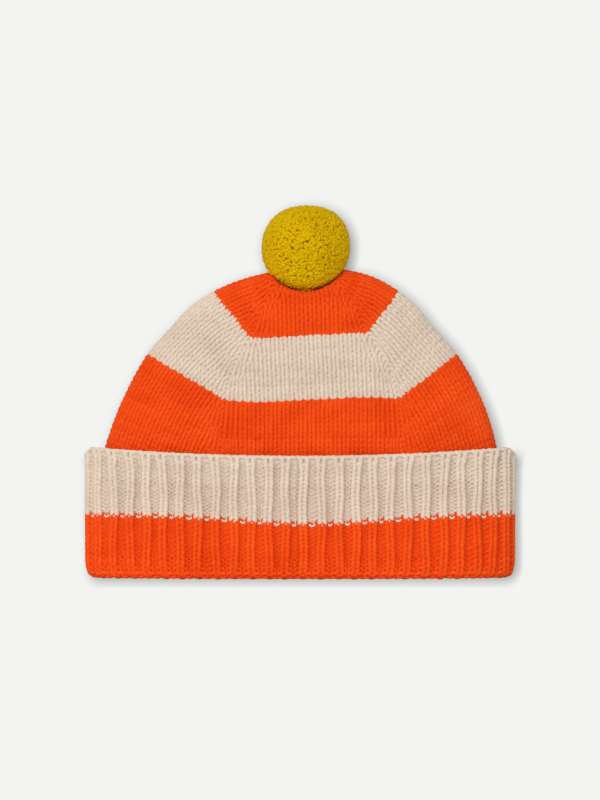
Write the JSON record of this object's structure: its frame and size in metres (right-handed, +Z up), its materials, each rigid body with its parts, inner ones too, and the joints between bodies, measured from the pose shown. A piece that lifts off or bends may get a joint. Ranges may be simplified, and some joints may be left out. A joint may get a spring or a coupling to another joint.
{
  "type": "pom pom beanie",
  "caption": "Striped knitted beanie with a folded ribbed turn-up, a four-gore domed crown, a yarn pompom that tilts and twists on its tie, and a blank label inside.",
  "frame": {"origin": "centre of the head opening, in the plane of the folded bottom edge that the hat stands on", "axes": "+Z up towards the pompom, -Y towards the front that the picture shows, +X to the right as seen from the front"},
  "size_m": [0.22, 0.06, 0.1902],
  "materials": {
    "orange_yarn": "soft matt knitted yarn, slightly hairy",
    "beige_yarn": "soft matt knitted yarn, slightly hairy",
    "mustard_yarn": "cut matt yarn pile",
    "label_tape": "smooth woven satin tape"
  },
  "bodies": {
    "hat": {"turn_up_edge": "beige_yarn", "turn_up_upper_band": "beige_yarn", "turn_up_lower_band": "orange_yarn", "inner_rib_band": "orange_yarn", "crown_lower_band": "orange_yarn", "crown_middle_band": "beige_yarn", "crown_cap": "orange_yarn", "crown_gather_yarn": "orange_yarn", "back_seam_thread": "orange_yarn", "care_label_stitches": "label_tape"},
    "pompom_tie": {"tie_cord": "mustard_yarn", "tie_knot": "mustard_yarn", "tie_tail_left": "mustard_yarn", "tie_tail_right": "mustard_yarn"},
    "pompom_core": {"pompom_binding": "mustard_yarn"},
    "pompom_ball": {"pompom": "mustard_yarn"},
    "label": {"care_label": "label_tape"}
  },
  "joints": [
    {"name": "pompom_nod", "type": "hinge", "parent": "hat", "child": "pompom_tie", "pos_m": [0.0028, 0, 0.14295], "axis": [1, 0, 0], "range_deg": [-18, 18], "stiffness_Nm_per_rad": 0.03},
    {"name": "pompom_sway", "type": "hinge", "parent": "pompom_tie", "child": "pompom_core", "pos_m": [0.0028, 0, 0.168], "axis": [0, 1, 0], "range_deg": [-20, 20], "stiffness_Nm_per_rad": 0.01},
    {"name": "pompom_twist", "type": "hinge", "parent": "pompom_core", "child": "pompom_ball", "pos_m": [0.0028, 0, 0.168], "axis": [0, 0, 1], "range_deg": [-60, 60], "stiffness_Nm_per_rad": 0.003},
    {"name": "care_label_flap", "type": "hinge", "parent": "hat", "child": "label", "pos_m": [0, 0.0178, 0.05], "axis": [-1, 0, 0], "range_deg": [0, 70]}
  ]
}
